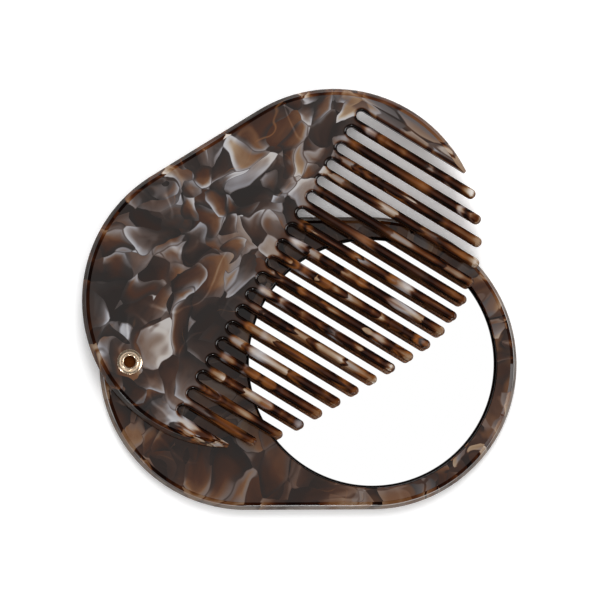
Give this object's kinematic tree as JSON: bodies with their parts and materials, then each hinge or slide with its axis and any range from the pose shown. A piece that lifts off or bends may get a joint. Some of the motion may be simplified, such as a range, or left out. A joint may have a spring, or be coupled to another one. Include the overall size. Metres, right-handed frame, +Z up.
{
  "type": "pocket mirror comb",
  "caption": "Pocket comb and mirror: a toothed plate swivels on a brass rivet over a matching plate that holds a round mirror, shown part open.",
  "frame": {"origin": "on the surface it rests on, under the centre of the round mirror", "axes": "+X along the mirror plate's mid-line, away from the rivet; +Z up, out of the mirror; the comb plate lies over it, swung 31.7 degrees towards +Y"},
  "size_m": [0.0938, 0.0904, 0.0072],
  "materials": {
    "pearl_tortoise": "polished cellulose acetate, dark brown with pearly grey and amber flakes",
    "adhesive_film": "double-sided adhesive film, sealed behind the mirror",
    "mirror_silver": "silver layer with its back paint",
    "clear_glass": "polished clear glass with a ground edge",
    "clear_nylon": "thin slip washer",
    "polished_brass": "polished, pale gold"
  },
  "bodies": {
    "mirror_half": {"mirror_plate": "pearl_tortoise", "mirror_adhesive": "adhesive_film", "mirror_coating": "mirror_silver", "mirror_glass": "clear_glass", "spacer_washer": "clear_nylon", "rivet_washer": "polished_brass", "pivot_rivet": "polished_brass"},
    "comb_half": {"comb_plate": "pearl_tortoise"}
  },
  "joints": [
    {"name": "comb_swivel", "type": "hinge", "parent": "mirror_half", "child": "comb_half", "pos_m": [-0.0522, 0, 0.0048], "axis": [0, 0, 1], "continuous": true}
  ]
}
